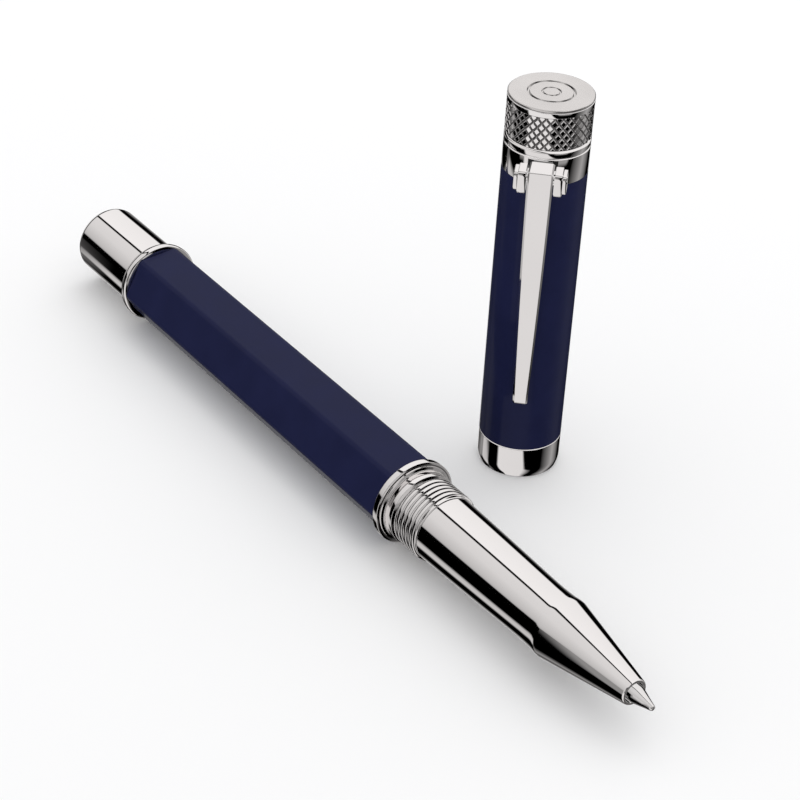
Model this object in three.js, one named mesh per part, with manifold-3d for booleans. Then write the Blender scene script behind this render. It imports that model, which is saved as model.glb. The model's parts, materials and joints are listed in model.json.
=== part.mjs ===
// A rollerball pen with its screw cap off: the pen lies on its two trim rings, the cap stands on its mouth beside it.
// Millimetres, +Z up. The pen's axis runs along +X, nib towards +X. The origin is under the middle of the pair.
import * as THREE from "three";
import { mergeVertices } from "three/addons/utils/BufferGeometryUtils.js";
import Module from "manifold-3d";

const wasm = await Module();
wasm.setup();

// ---- driving dimensions ----
const RING_R = 6.1; // both trim rings: the pen rests on them
const PEN_TAIL = -80.2; // along the pen from the front ring's rear face
const PEN_TIP = 49.8;
const HEX_R = 6.0; // across the corners of the six-sided barrel, halved
const HEX_ROUND = 0.75; // radius of the barrel's long edges
const BARREL_ROLL = THREE.MathUtils.degToRad(4.8); // the barrel is not quite flat side up
const BARREL_BACK = -64.4;
const BARREL_BORE = 4.75;
const TAIL_R = 5.2;
const TAIL_BORE = 4.25;
const TAIL_FRONT = -66.5;
const TAIL_END_THICK = 1.6;
const BUSH_BORE = 3.45; // clears the refill and its spring
const SLEEVE_R = 5.19; // plain collar behind the thread
const SLEEVE_BORE = 4.25;
const SLEEVE_BACK = 1.45;
const SECTION_R = 4.69; // grip just ahead of the thread
const SECTION_BORE = 3.35;
const WAIST_R = 4.16; // narrowest place of the grip
const FLARE_R = 4.34; // lip ahead of the waist, where the nose cone starts
const NOSE_R = 1.76;
const THREAD_R = 5.08; // crest of the cap thread
const THREAD_PITCH = 0.81;
const THREAD_TURNS = 6;
const THREAD_BACK = 3.0;
const THREAD_DEPTH = 0.32;
const STUD_R = 3.95; // joins the section to the barrel
const STUD_BACK = -10;
const STUD_FRONT = 7.9;
const STUD_BORE = 3.3;
const SEAL_R = 0.3;
const REFILL_R = 3.05;
const REFILL_BACK = -61.5;
const BALL_R = 0.35;
const CAP_R = 5.7;
const CAP_H = 56.3;
const CAP_BORE = 5.35; // inside of the cap's metal tube
const LINER_BORE = 5.15;
const LIP_H = 4.6;
const BAND_Z = 45.7; // clip band
const BAND_BORE = 4.75;
const GROOVE_Z = 49.4; // line between the band and the plain ring above it
const CROWN_Z = 50.55; // knurled crown
const DISC_H = 0.5;
const SCREW_HOLE = 1.9;
const PIN_RADIUS = 0.5; // clip hinge pin
const PIN_X = 7.05; // its distance from the cap's axis
const PIN_Z = 47.4;
const CLIP_FOOT_Z = 12.8;
const CAP_ACROSS = 24.4; // between the two axes
const CAP_ALONG = -7.8; // cap's place along the pen
const CLIP_TURN = THREE.MathUtils.degToRad(-43.5); // the way the clip faces, about +Z
const GAP = 0.05; // between faces that touch on the real pen
const PIN_GAP = 0.06;
const AROUND = 36; // segments of a turned part

// ---- where the pair sits in the part's frame ----
const MID_ALONG = (PEN_TAIL + PEN_TIP) / 2;
const MID_ACROSS = (CAP_ACROSS + CAP_R - RING_R) / 2;

const COLOURS = {
  chrome: { color: 0xd9d6d6, metalness: 1, roughness: 0.08 },
  lacquer: { color: 0x151a45, metalness: 0, roughness: 0.15 },
  brass: { color: 0xb9964f, metalness: 1, roughness: 0.35 },
  steel: { color: 0xa9aaad, metalness: 1, roughness: 0.3 },
  liner: { color: 0x17181b, metalness: 0, roughness: 0.5 },
  rubber: { color: 0x0c0c0d, metalness: 0, roughness: 0.8 },
  refill: { color: 0xc9cacd, metalness: 1, roughness: 0.3 },
  neck: { color: 0xe9e9e4, metalness: 0, roughness: 0.5 },
  ink: { color: 0x1a2350, metalness: 0, roughness: 0.9 },
};

// Turns a flat outline upright: its first axis becomes +Y, its second +Z, and its depth +X.
const STAND = new THREE.Matrix4().makeBasis(
  new THREE.Vector3(0, 1, 0),
  new THREE.Vector3(0, 0, 1),
  new THREE.Vector3(1, 0, 0),
);

// ---- geometry helpers ----

// Turns a closed mesh the right way out.
function facingOut(geometry) {
  const g = geometry.index ? geometry.toNonIndexed() : geometry;
  g.deleteAttribute("normal");
  g.deleteAttribute("uv");
  const merged = mergeVertices(g, 1e-3);
  const p = merged.attributes.position;
  const kept = [];
  const corner = [new THREE.Vector3(), new THREE.Vector3(), new THREE.Vector3()];
  let volume = 0;
  for (let i = 0; i < merged.index.count; i += 3) {
    const [a, b, c] = [0, 1, 2].map((k) => merged.index.getX(i + k));
    if (a === b || b === c || a === c) continue;
    kept.push(a, b, c);
    [a, b, c].forEach((v, k) => corner[k].fromBufferAttribute(p, v));
    volume += corner[0].dot(corner[1].cross(corner[2]));
  }
  if (volume < 0) kept.reverse();
  merged.setIndex(kept);
  return merged;
}

// A turned part from [radius, height] points, about +Z. The profile closes on itself unless it ends on the axis.
function turned(points, segments = AROUND) {
  const profile = points.map(([r, z]) => new THREE.Vector2(r, z));
  const first = profile[0];
  const last = profile[profile.length - 1];
  if (first.x > 0 || last.x > 0) profile.push(first.clone());
  return facingOut(new THREE.LatheGeometry(profile, segments).rotateX(Math.PI / 2));
}

// A turned part of the pen, from [radius, distance along the pen] points.
function turnedAlong(points, segments = AROUND) {
  return turned(points, segments).rotateY(Math.PI / 2);
}

function solid(geometry) {
  const g = facingOut(geometry.clone());
  return new wasm.Manifold(
    new wasm.Mesh({
      numProp: 3,
      vertProperties: g.attributes.position.array,
      triVerts: new Uint32Array(g.index.array),
    }),
  );
}

function geometryOf(manifold) {
  const mesh = manifold.getMesh();
  const g = new THREE.BufferGeometry();
  g.setAttribute("position", new THREE.BufferAttribute(new Float32Array(mesh.vertProperties), 3));
  g.setIndex(new THREE.BufferAttribute(new Uint32Array(mesh.triVerts), 1));
  return g;
}

function block(x0, x1, y0, y1, z0, z1) {
  const g = new THREE.BoxGeometry(x1 - x0, y1 - y0, z1 - z0);
  return g.translate((x0 + x1) / 2, (y0 + y1) / 2, (z0 + z1) / 2);
}

// A cylinder across the clip, along Y.
function crossPin(radius, y0, y1, segments = 32) {
  return new THREE.CylinderGeometry(radius, radius, y1 - y0, segments).translate(0, (y0 + y1) / 2, 0);
}

// The side outline of a piece that lies in the clip's own plane, given thickness across it.
function plate(outline, y0, y1) {
  const shape = new THREE.Shape(outline.map(([x, z]) => new THREE.Vector2(x, z)));
  const g = new THREE.ExtrudeGeometry(shape, { depth: y1 - y0, bevelEnabled: false });
  return g.rotateX(Math.PI / 2).translate(0, y1, 0);
}

function arcPoints(cx, cy, radius, from, to, steps) {
  return Array.from({ length: steps + 1 }, (_, i) => {
    const a = THREE.MathUtils.degToRad(from + ((to - from) * i) / steps);
    return [cx + radius * Math.cos(a), cy + radius * Math.sin(a)];
  });
}

function coil(radius, wire, turns, length, perTurn = 10) {
  class Helix extends THREE.Curve {
    getPoint(t, target = new THREE.Vector3()) {
      const a = 2 * Math.PI * turns * t;
      return target.set(length * t, radius * Math.cos(a), radius * Math.sin(a));
    }
  }
  const section = new THREE.Shape().absarc(0, 0, wire, 0, 2 * Math.PI);
  return new THREE.ExtrudeGeometry(section, {
    steps: turns * perTurn,
    curveSegments: 4,
    extrudePath: new Helix(),
    bevelEnabled: false,
  });
}

// ---- scene graph ----
const pair = new THREE.Group();
const pen = new THREE.Group();
pen.position.set(-MID_ALONG, -MID_ACROSS, RING_R);
const cap = new THREE.Group();
cap.position.set(CAP_ALONG - MID_ALONG, CAP_ACROSS - MID_ACROSS, 0);
cap.rotation.z = CLIP_TURN;
pair.add(pen, cap);

function add(group, name, finish, geometry) {
  const mesh = new THREE.Mesh(geometry, new THREE.MeshStandardMaterial(COLOURS[finish]));
  mesh.name = name;
  group.add(mesh);
  return mesh;
}

// ---- barrel ----

// Six flats with rounded long edges and a round bore.
function barrelTube() {
  const shape = new THREE.Shape();
  const centre = HEX_R - HEX_ROUND / Math.cos(Math.PI / 6);
  for (let i = 0; i < 6; i++) {
    const turn = (i * Math.PI) / 3 + BARREL_ROLL;
    const [y, z] = [centre * Math.cos(turn), centre * Math.sin(turn)];
    shape.absarc(y, z, HEX_ROUND, turn - Math.PI / 6, turn + Math.PI / 6, false);
  }
  shape.closePath();
  shape.holes.push(new THREE.Path().absarc(0, 0, BARREL_BORE, 0, 2 * Math.PI, true));
  const g = new THREE.ExtrudeGeometry(shape, {
    depth: -BARREL_BACK - GAP,
    curveSegments: 18,
    bevelEnabled: false,
  });
  return g.applyMatrix4(STAND).translate(BARREL_BACK, 0, 0);
}

function frontTrimRing() {
  const bore = BARREL_BORE - 0.02;
  return turnedAlong([
    [bore, 0],
    [RING_R - 0.15, 0],
    [RING_R, 0.15],
    [RING_R, 0.95],
    [RING_R - 0.3, 1.2],
    [SLEEVE_R + 0.1, 1.25],
    [SLEEVE_R, SLEEVE_BACK - GAP],
    [bore, SLEEVE_BACK - GAP],
  ]);
}

function rearTrimRing() {
  const middle = BARREL_BACK - 1.05;
  const half = 1;
  const low = RING_R - half;
  const bead = arcPoints(0, 0, half, 180, 0, 8).map(([x, y]) => [low + y, middle + x]);
  return turnedAlong([[4.3, middle - half], ...bead, [4.3, middle + half]]);
}

function tailCap() {
  const fillet = 0.8;
  const edge = arcPoints(0, 0, fillet, 180, 90, 4).map(([x, y]) => [
    TAIL_R - fillet + y,
    PEN_TAIL + fillet + x,
  ]);
  return turnedAlong([
    [0, PEN_TAIL],
    ...edge,
    [TAIL_R, TAIL_FRONT],
    [TAIL_BORE, TAIL_FRONT],
    [TAIL_BORE, PEN_TAIL + TAIL_END_THICK],
    [0, PEN_TAIL + TAIL_END_THICK],
  ]);
}

// Stepped bush that joins the tail to the barrel through the rear ring.
function tailBush() {
  return turnedAlong([
    [BUSH_BORE, -73],
    [TAIL_BORE - 0.1, -73],
    [TAIL_BORE - 0.1, BARREL_BACK + 0.1],
    [BARREL_BORE - GAP, BARREL_BACK + 0.1],
    [BARREL_BORE - GAP, -58],
    [BUSH_BORE, -58],
  ]);
}

// Female-threaded bush fixed in the barrel's front end.
function barrelBush() {
  const wall = BARREL_BORE - GAP;
  const back = STUD_BACK - 1;
  return turnedAlong([
    [SLEEVE_BORE - GAP, back],
    [wall, back],
    [wall, -GAP],
    [SLEEVE_BORE - GAP, -GAP],
  ]);
}

function springSeat() {
  return turnedAlong([
    [0, -75],
    [TAIL_BORE - 0.1, -75],
    [TAIL_BORE - 0.1, -73.8],
    [1.6, -73.8],
    [1.2, -72.6],
    [0, -72.6],
  ]);
}

const SPRING_BACK = -73.2;
const SPRING_R = 2.4;
const SPRING_WIRE = 0.25; // radius
const SPRING_TURNS = 6;

function refillSpring() {
  const length = REFILL_BACK - SPRING_BACK - 0.9;
  return coil(SPRING_R, SPRING_WIRE, SPRING_TURNS, length).translate(SPRING_BACK, 0, 0);
}

add(pen, "barrel_tube", "lacquer", barrelTube());
add(pen, "front_trim_ring", "chrome", frontTrimRing());
add(pen, "rear_trim_ring", "chrome", rearTrimRing());
add(pen, "tail_cap", "chrome", tailCap());
add(pen, "tail_bush", "brass", tailBush());
add(pen, "barrel_thread_bush", "brass", barrelBush());
add(pen, "spring_seat", "liner", springSeat());
add(pen, "refill_spring", "steel", refillSpring());

// ---- grip section, which unscrews from the barrel ----
const SLEEVE_FRONT = THREAD_BACK + THREAD_TURNS * THREAD_PITCH;

// Smooth collar and the cap's male thread, its crests drawn as separate ridges.
function threadSleeve() {
  const root = THREAD_R - THREAD_DEPTH;
  const profile = [
    [SLEEVE_BORE, SLEEVE_BACK],
    [SLEEVE_R, SLEEVE_BACK],
    [SLEEVE_R, THREAD_BACK - 0.05],
  ];
  for (let i = 0; i < THREAD_TURNS; i++) {
    const at = THREAD_BACK + i * THREAD_PITCH;
    profile.push([root, at + 0.2], [THREAD_R, at + 0.4], [THREAD_R, at + 0.65]);
  }
  profile.push([root, SLEEVE_FRONT + 0.1], [SLEEVE_BORE, SLEEVE_FRONT + 0.1]);
  return turnedAlong(profile, 32);
}

// Waisted grip, a flare ahead of the waist, then the cone down to the nose.
function gripSection() {
  const front = SLEEVE_FRONT + 0.15;
  return turnedAlong([
    [STUD_R - 0.1, SLEEVE_BACK],
    [SLEEVE_BORE - GAP, SLEEVE_BACK],
    [SLEEVE_BORE - GAP, front],
    [SECTION_R - 0.1, front],
    [SECTION_R, front + 0.15],
    [SECTION_R - 0.12, 14],
    [SECTION_R - 0.32, 20],
    [WAIST_R + 0.03, 26],
    [WAIST_R, 28],
    [WAIST_R + 0.05, 30],
    [FLARE_R - 0.04, 31.4],
    [FLARE_R, 32],
    [FLARE_R - 0.12, 32.6],
    [3.62, 36],
    [2.93, 40],
    [NOSE_R, 46.2],
    [NOSE_R - 0.1, 46.3],
    [1.5, 46.3],
    [1.55, 38.5],
    [SECTION_BORE, 32],
    [SECTION_BORE, STUD_FRONT + 0.1],
    [STUD_R - 0.1, STUD_FRONT + 0.1],
  ]);
}

function sectionStud() {
  const spigot = STUD_R - 0.17;
  return turnedAlong([
    [STUD_BORE, STUD_BACK],
    [STUD_R - 0.25, STUD_BACK],
    [STUD_R, STUD_BACK + 0.4],
    [STUD_R, SLEEVE_BACK - 0.15],
    [spigot, SLEEVE_BACK - GAP],
    [spigot, STUD_FRONT],
    [STUD_BORE, STUD_FRONT],
  ]);
}

function sealRing() {
  const ring = arcPoints(STUD_R + SEAL_R + 0.08, SLEEVE_BACK / 2, SEAL_R, 0, 330, 11);
  return turnedAlong(ring, 32);
}

add(pen, "grip_section", "chrome", gripSection());
add(pen, "cap_thread_sleeve", "chrome", threadSleeve());
add(pen, "section_stud", "brass", sectionStud());
add(pen, "section_seal_ring", "rubber", sealRing());

// ---- refill ----
const TUBE_FRONT = 31;
add(
  pen,
  "refill_tube",
  "refill",
  turnedAlong([
    [2.75, REFILL_BACK + 3],
    [REFILL_R, REFILL_BACK + 3],
    [REFILL_R, TUBE_FRONT],
    [2.75, TUBE_FRONT],
  ]),
);
add(
  pen,
  "refill_end_plug",
  "neck",
  turnedAlong([
    [0, REFILL_BACK],
    [2.9, REFILL_BACK],
    [REFILL_R, REFILL_BACK + 0.3],
    [REFILL_R, REFILL_BACK + 2.9],
    [2.65, REFILL_BACK + 2.9],
    [2.65, REFILL_BACK + 5],
    [0, REFILL_BACK + 5],
  ]),
);
add(
  pen,
  "ink_reservoir",
  "ink",
  turnedAlong([
    [0, REFILL_BACK + 5.5],
    [2.6, REFILL_BACK + 5.5],
    [2.6, 27],
    [0, 27],
  ]),
);
add(
  pen,
  "refill_neck",
  "neck",
  turnedAlong([
    [0, 27.5],
    [2.65, 27.5],
    [2.65, TUBE_FRONT + 0.1],
    [REFILL_R - 0.1, TUBE_FRONT + 0.1],
    [REFILL_R - 0.1, 31.8],
    [1.25, 38.2],
    [1.2, 41.9],
    [0, 41.9],
  ]),
);
// Metal writing tip with a socket that holds the ball from behind.
function refillTip() {
  const socket = BALL_R + 0.06;
  return turnedAlong(
    [
      [0, 42],
      [1.2, 42],
      [1.17, 46.6],
      [0.62, 48.7],
      [0.34, PEN_TIP - 0.12],
      [0.3, PEN_TIP - 0.12],
      [socket, PEN_TIP - BALL_R - 0.02],
      [socket, PEN_TIP - 2 * BALL_R - 0.06],
      [0, PEN_TIP - 2 * BALL_R - 0.06],
    ],
    28,
  );
}
add(pen, "refill_tip", "steel", refillTip());
add(
  pen,
  "writing_ball",
  "steel",
  new THREE.SphereGeometry(BALL_R, 14, 10).translate(PEN_TIP - BALL_R, 0, 0),
);

// ---- cap ----
function capLipRing() {
  return turned([
    [CAP_BORE - 0.1, 0.15],
    [CAP_BORE - 0.05, 0],
    [CAP_R - 0.2, 0],
    [CAP_R - 0.05, 0.4],
    [CAP_R, 0.8],
    [CAP_R, LIP_H],
    [CAP_BORE, LIP_H],
    [CAP_BORE, 1.5],
    [CAP_BORE - 0.1, 1.4],
  ]);
}

function capTube() {
  const top = BAND_Z - GAP;
  return turned([
    [CAP_BORE, LIP_H + GAP],
    [CAP_R, LIP_H + GAP],
    [CAP_R, top],
    [CAP_BORE, top],
  ]);
}

// Plastic liner inside the mouth, which takes the section's thread.
function capThreadLiner() {
  return turned([
    [LINER_BORE, 1.6],
    [CAP_BORE - GAP, 1.6],
    [CAP_BORE - GAP, 14],
    [LINER_BORE, 14],
  ]);
}

// Cup that closes round the nose and keeps the ball wet.
function innerSealCup() {
  return turned([
    [4.75, 34],
    [CAP_BORE - GAP, 34],
    [CAP_BORE - GAP, BAND_Z - 0.3],
    [4.0, BAND_Z - 0.3],
    [4.0, 49.2],
    [0, 49.2],
    [0, 48.6],
    [2.2, 48.6],
    [2.7, 44],
  ]);
}

const WINDOW_HALF = 1.95;
function clipBand() {
  const ring = turned([
    [BAND_BORE, BAND_Z],
    [CAP_R, BAND_Z],
    [CAP_R, GROOVE_Z - 0.1],
    [CAP_R - 0.2, GROOVE_Z],
    [CAP_R - 0.2, GROOVE_Z + 0.15],
    [CAP_R, GROOVE_Z + 0.25],
    [CAP_R, CROWN_Z - 0.15],
    [BAND_BORE, CROWN_Z - 0.15],
  ]);
  const window = block(3, 8, -WINDOW_HALF, WINDOW_HALF, PIN_Z - 0.1, PIN_Z + 1.75);
  return geometryOf(solid(ring).subtract(solid(window)));
}

// Crown; its knurled belt is a plain one here.
function knurledCrown() {
  const top = CAP_H - DISC_H - GAP;
  return turned([
    [SCREW_HOLE, CROWN_Z],
    [CAP_R - 0.2, CROWN_Z],
    [CAP_R - 0.2, CROWN_Z + 0.05],
    [CAP_R, CROWN_Z + 0.1],
    [CAP_R, top - 0.05],
    [CAP_R - 0.05, top],
    [0, top],
    [0, top - 1],
    [SCREW_HOLE, top - 1],
  ]);
}

// Flat disc on a neck, which leaves a narrow groove between it and the crown.
function crownDisc() {
  const under = CAP_H - 0.28;
  return turned([
    [0, CAP_H - DISC_H],
    [CAP_R - 0.25, CAP_H - DISC_H],
    [CAP_R - 0.25, under],
    [CAP_R - 0.02, under],
    [CAP_R - 0.02, CAP_H - 0.1],
    [CAP_R - 0.12, CAP_H],
    [0, CAP_H],
  ]);
}

function crownScrew() {
  const head = CROWN_Z - 0.1;
  const shank = SCREW_HOLE - 0.3;
  return turned(
    [
      [0, head - 1.1],
      [SCREW_HOLE + 0.4, head - 1.1],
      [SCREW_HOLE + 0.4, head],
      [shank, head],
      [shank, CROWN_Z + 3.8],
      [0, CROWN_Z + 3.8],
    ],
    24,
  );
}

add(cap, "cap_lip_ring", "chrome", capLipRing());
add(cap, "cap_tube", "lacquer", capTube());
add(cap, "cap_thread_liner", "liner", capThreadLiner());
add(cap, "inner_seal_cup", "liner", innerSealCup());
add(cap, "clip_band", "chrome", clipBand());
add(cap, "knurled_crown", "chrome", knurledCrown());
add(cap, "crown_disc", "chrome", crownDisc());
add(cap, "crown_screw", "steel", crownScrew());

// ---- clip and its hinge; +X of this group is the way the clip faces ----
const ARM_HALF = 1.66;
const KNUCKLE_IN = 1.8;
const KNUCKLE_OUT = 3.4;
const KNUCKLE_FRONT = PIN_X + 0.95;
const KNUCKLE_ROUND = 0.7;
const CLIP_TOP = PIN_Z + 1.1;
const ARM_FOOT_HALF = 0.98;
const ARM_FRONT = PIN_X + 0.9; // front face at the head
const FOOT_FRONT = CAP_R + 1.05;
const TAPER_TOP = PIN_Z - 2; // the arm narrows from here down

function pinBore() {
  return crossPin(PIN_RADIUS + PIN_GAP, -9, 9).translate(PIN_X, 0, PIN_Z);
}

// Two knuckles on a saddle that follows the band's curve.
function clipBracket() {
  const lower = PIN_Z - 2;
  const saddle = block(4.6, 6.05, -KNUCKLE_OUT, KNUCKLE_OUT, BAND_Z + 0.4, PIN_Z - 0.3);
  const outline = [
    [4.6, lower],
    [PIN_X + 0.55, lower],
    [KNUCKLE_FRONT, lower + 0.4],
    ...arcPoints(KNUCKLE_FRONT - KNUCKLE_ROUND, CLIP_TOP - KNUCKLE_ROUND, KNUCKLE_ROUND, 0, 90, 5),
    [4.6, CLIP_TOP],
  ];
  const left = solid(plate(outline, -KNUCKLE_OUT, -KNUCKLE_IN));
  const right = solid(plate(outline, KNUCKLE_IN, KNUCKLE_OUT));
  const column = turned([
    [0, 40],
    [CAP_R + GAP, 40],
    [CAP_R + GAP, 60],
    [0, 60],
  ]);
  const body = solid(saddle).add(left).add(right).subtract(solid(column)).subtract(solid(pinBore()));
  return geometryOf(body);
}

// Arm that narrows to its foot, with bevelled edges, a square head on the pin and a tail through the band's window.
function clipArm() {
  const head = 0.15;
  const outline = [
    [PIN_X - 0.25, PIN_Z - 1.2],
    [CAP_R + 0.55, CLIP_FOOT_Z + 3.2],
    [CAP_R + 0.12, CLIP_FOOT_Z + 1.6],
    [CAP_R + 0.12, CLIP_FOOT_Z + 0.9],
    [CAP_R + 0.45, CLIP_FOOT_Z],
    [FOOT_FRONT, CLIP_FOOT_Z],
    [ARM_FRONT, TAPER_TOP],
    ...arcPoints(ARM_FRONT - head, CLIP_TOP - head, head, 0, 90, 4),
    [BAND_BORE + 0.1, CLIP_TOP],
    [BAND_BORE + 0.1, PIN_Z + 0.5],
    [6.1, PIN_Z + 0.45],
  ];
  const side = solid(plate(outline, -ARM_HALF, ARM_HALF));
  let body = side.intersect(solid(armFront())).subtract(solid(pinBore()));
  for (const edge of [-1, 1]) body = body.subtract(solid(armBevel(edge)));
  return geometryOf(body);
}

// The arm's outline from the front: full width at the head, tapering to the foot.
function armFront() {
  const low = CLIP_FOOT_Z - 1;
  const high = PIN_Z + 3;
  const shape = new THREE.Shape([
    new THREE.Vector2(-ARM_HALF, high),
    new THREE.Vector2(-ARM_HALF, TAPER_TOP),
    new THREE.Vector2(-ARM_FOOT_HALF, low),
    new THREE.Vector2(ARM_FOOT_HALF, low),
    new THREE.Vector2(ARM_HALF, TAPER_TOP),
    new THREE.Vector2(ARM_HALF, high),
  ]);
  const g = new THREE.ExtrudeGeometry(shape, { depth: 6, bevelEnabled: false });
  return g.applyMatrix4(STAND).translate(4.5, 0, 0);
}

// A square bar on its corner, laid along one front edge of the arm.
function armBevel(edge) {
  const half = 0.25;
  const lean = Math.atan((ARM_FRONT - FOOT_FRONT) / (TAPER_TOP - CLIP_FOOT_Z));
  const splay = Math.atan((ARM_HALF - ARM_FOOT_HALF) / (PIN_Z - 1 - CLIP_FOOT_Z));
  const g = block(-half, half, -half, half, -30, 30).rotateZ(Math.PI / 4);
  g.rotateX(edge * splay).rotateY(lean);
  const x = (ARM_FRONT + FOOT_FRONT) / 2 + 0.12;
  const y = edge * ((ARM_HALF + ARM_FOOT_HALF) / 2 + 0.12);
  return g.translate(x, y, (TAPER_TOP + CLIP_FOOT_Z) / 2);
}

const PIN_HALF = KNUCKLE_OUT - 0.1;
add(cap, "clip_bracket", "chrome", clipBracket());
add(cap, "clip_arm", "chrome", clipArm());
add(
  cap,
  "clip_hinge_pin",
  "steel",
  crossPin(PIN_RADIUS, -PIN_HALF, PIN_HALF).translate(PIN_X, 0, PIN_Z),
);
// Leaf that pushes the arm's tail outwards from inside the band.
add(
  cap,
  "clip_leaf_spring",
  "steel",
  plate(
    [
      [4.15, PIN_Z - 1.6],
      [4.3, PIN_Z - 1.6],
      [4.3, PIN_Z],
      [4.5, PIN_Z + 0.8],
      [4.3, PIN_Z + 1.6],
      [4.15, PIN_Z + 1.6],
      [4.35, PIN_Z + 0.8],
      [4.15, PIN_Z],
    ],
    -1.2,
    1.2,
  ),
);

export default pair;
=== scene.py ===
import json
import math

import bmesh
import bpy
from mathutils import Matrix, Vector

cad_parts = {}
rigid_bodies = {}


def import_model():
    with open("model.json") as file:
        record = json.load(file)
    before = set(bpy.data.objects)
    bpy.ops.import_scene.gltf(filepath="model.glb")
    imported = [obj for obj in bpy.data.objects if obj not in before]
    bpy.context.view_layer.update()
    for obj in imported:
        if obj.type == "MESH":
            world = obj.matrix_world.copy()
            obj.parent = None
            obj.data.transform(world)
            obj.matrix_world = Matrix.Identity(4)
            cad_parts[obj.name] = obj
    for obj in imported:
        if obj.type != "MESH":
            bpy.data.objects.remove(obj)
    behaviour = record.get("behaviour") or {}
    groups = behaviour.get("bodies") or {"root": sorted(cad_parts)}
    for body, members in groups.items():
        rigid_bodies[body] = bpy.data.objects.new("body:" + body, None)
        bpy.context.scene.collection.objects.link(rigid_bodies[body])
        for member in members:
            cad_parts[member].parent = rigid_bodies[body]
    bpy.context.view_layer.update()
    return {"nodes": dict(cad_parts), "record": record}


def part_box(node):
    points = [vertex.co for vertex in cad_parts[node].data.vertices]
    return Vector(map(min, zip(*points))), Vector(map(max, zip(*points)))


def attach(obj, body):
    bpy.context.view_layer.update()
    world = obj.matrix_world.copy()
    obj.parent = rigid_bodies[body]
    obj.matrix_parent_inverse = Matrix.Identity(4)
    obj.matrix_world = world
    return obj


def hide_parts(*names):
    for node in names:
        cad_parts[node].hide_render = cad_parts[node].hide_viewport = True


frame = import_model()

MM = 0.001
TURN = 2 * math.pi

# ---- places, from the frame ----
ring_low, ring_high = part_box("front_trim_ring")
tube_low, tube_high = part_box("cap_tube")
pin_low, pin_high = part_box("clip_hinge_pin")

PEN_ORIGIN = Vector((ring_low.x, (ring_low.y + ring_high.y) / 2, (ring_low.z + ring_high.z) / 2))
CAP_ORIGIN = Vector(((tube_low.x + tube_high.x) / 2, (tube_low.y + tube_high.y) / 2, 0))
PIN_PLACE = (pin_low + pin_high) / 2 - CAP_ORIGIN

# Every piece is drawn in millimetres about its own axis: (across, up or across, along the axis).
PEN_AXES = Matrix(((0, 0, 1), (1, 0, 0), (0, 1, 0))).to_4x4()
PEN = Matrix.Translation(PEN_ORIGIN) @ PEN_AXES @ Matrix.Scale(MM, 4)
CLIP_WAY = Matrix.Rotation(math.atan2(PIN_PLACE.y, PIN_PLACE.x), 4, "Z")
CAP = Matrix.Translation(CAP_ORIGIN) @ CLIP_WAY @ Matrix.Scale(MM, 4)

# ---- sizes, in millimetres ----
RING_R = (ring_high.z - ring_low.z) / 2 / MM
CAP_R = (tube_high.x - tube_low.x) / 2 / MM
CAP_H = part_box("crown_disc")[1].z / MM
PEN_TAIL = (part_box("tail_cap")[0].x - PEN_ORIGIN.x) / MM
PEN_TIP = (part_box("writing_ball")[1].x - PEN_ORIGIN.x) / MM

HEX_R = 6.0
HEX_ROUND = 0.75
BARREL_ROLL = math.radians(4.8)
BARREL_BACK = -64.4
BARREL_BORE = 4.75
BARREL_CHAMFER = 0.12
GAP = 0.05
RING_BORE = 4.8
RING_LIP_R = 5.6
RING_FRONT = 1.42
REAR_RING_BORE = 4.3
REAR_RING_BACK = -66.45
REAR_RING_FRONT = -64.42
TAIL_R = 5.2
TAIL_ROUND = 0.85
TAIL_BORE = 4.25
TAIL_FRONT = -66.5
TAIL_END_THICK = 1.6

SLEEVE_R = 5.19
SLEEVE_BORE = 4.25
SLEEVE_BACK = 1.45
THREAD_R = 5.08
THREAD_DEPTH = 0.34
THREAD_PITCH = 0.81
THREAD_TURNS = 6
THREAD_BACK = 3.0
GRIP_BACK_BORE = 3.85
GRIP_NECK_R = 4.2
GRIP_STEP = 8.01
GRIP_BORE = 3.35
NOSE_MOUTH = 46.3
NOSE_BORE = 1.42
STUD_PITCH = 0.75
STUD_R = 3.95
STUD_ROOT = 3.68
STUD_BORE = 3.3
STUD_BACK = -10
STUD_FRONT = 7.9
STUD_FRONT_R = 3.78
SEAL_R = 0.3
SEAL_RING_R = 4.33
SEAL_AT = 0.725
POINT_BACK = 42
BALL_R = 0.35
SEAT_R = 0.41
SEAT_DEPTH = 0.78

CAP_BORE = 5.35
LINER_R = CAP_BORE - 0.05
LINER_BORE = 5.15
LINER_BOTTOM = 1.6
LINER_TOP = 14
CUP_BOTTOM = 34
CUP_TOP = 49.2
CUP_NECK_R = 4.0
LIP_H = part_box("cap_lip_ring")[1].z / MM
BAND_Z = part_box("clip_band")[0].z / MM
BAND_BORE = 4.75
BAND_GROOVE = 0.16
CROWN_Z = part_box("knurled_crown")[0].z / MM
GROOVE_Z = CROWN_Z - 1.15
KNURL_TOP = CAP_H - 1.15
KNURL_ROUND = 32
KNURL_ROWS = 3.6
KNURL_GROOVE = 0.2
KNURL_DEPTH = 0.24
CROWN_BORE = 1.9
DISC_BOTTOM = CAP_H - 0.52
OUTER_CIRCLE_R = 3.0
INNER_CIRCLE_R = 1.17

PIN_X = PIN_PLACE.xy.length / MM
PIN_Z = PIN_PLACE.z / MM
PIN_R = 0.5
PIN_HALF = 3.42
CLIP_TOP = PIN_Z + 1.1
CLIP_FOOT_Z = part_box("clip_arm")[0].z / MM
HEAD_ROUND = 0.14
ARM_HALF = 1.65
WINDOW_HALF = 1.95

# Smooth shading breaks at edges sharper than this, in degrees.
CREASE = 32
# The pieces that show in reflections.
MIRRORED = ("barrel_lacquer", "front_ring", "rear_ring", "tail")

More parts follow.
